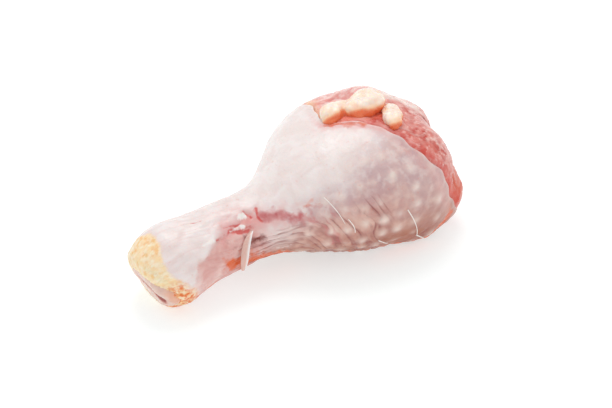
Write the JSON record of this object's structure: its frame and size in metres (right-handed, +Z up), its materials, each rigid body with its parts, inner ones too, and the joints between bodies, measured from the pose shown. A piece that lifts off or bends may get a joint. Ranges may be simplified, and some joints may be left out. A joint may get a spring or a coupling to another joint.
{
  "type": "raw chicken drumstick",
  "caption": "Raw chicken drumstick with its skin on, lying on its side: plump knee end with bare meat and fat, slim ankle with a yellow patch over the cut hock.",
  "frame": {"origin": "centre of the bounding box's base, on the surface the drumstick lies on", "axes": "+X along the leg from the cut hock to the knee, +Z up, the drumstick lying on its side"},
  "size_m": [0.1236, 0.0646, 0.0496],
  "materials": {
    "skin": "moist raw chicken skin, pale pinkish white with raised pores, yellow over the ankle",
    "meat": "wet raw dark poultry meat, rosy red with white membranes",
    "bone": "wet white joint cartilage",
    "fat": "glossy peach-coloured raw fat",
    "tendon": "wet translucent white tendon"
  },
  "bodies": {
    "root": {"skin": "skin", "meat": "meat", "shin_bone": "bone", "fat_fold": "fat", "fat_tab": "fat", "tendon": "tendon"}
  },
  "joints": []
}
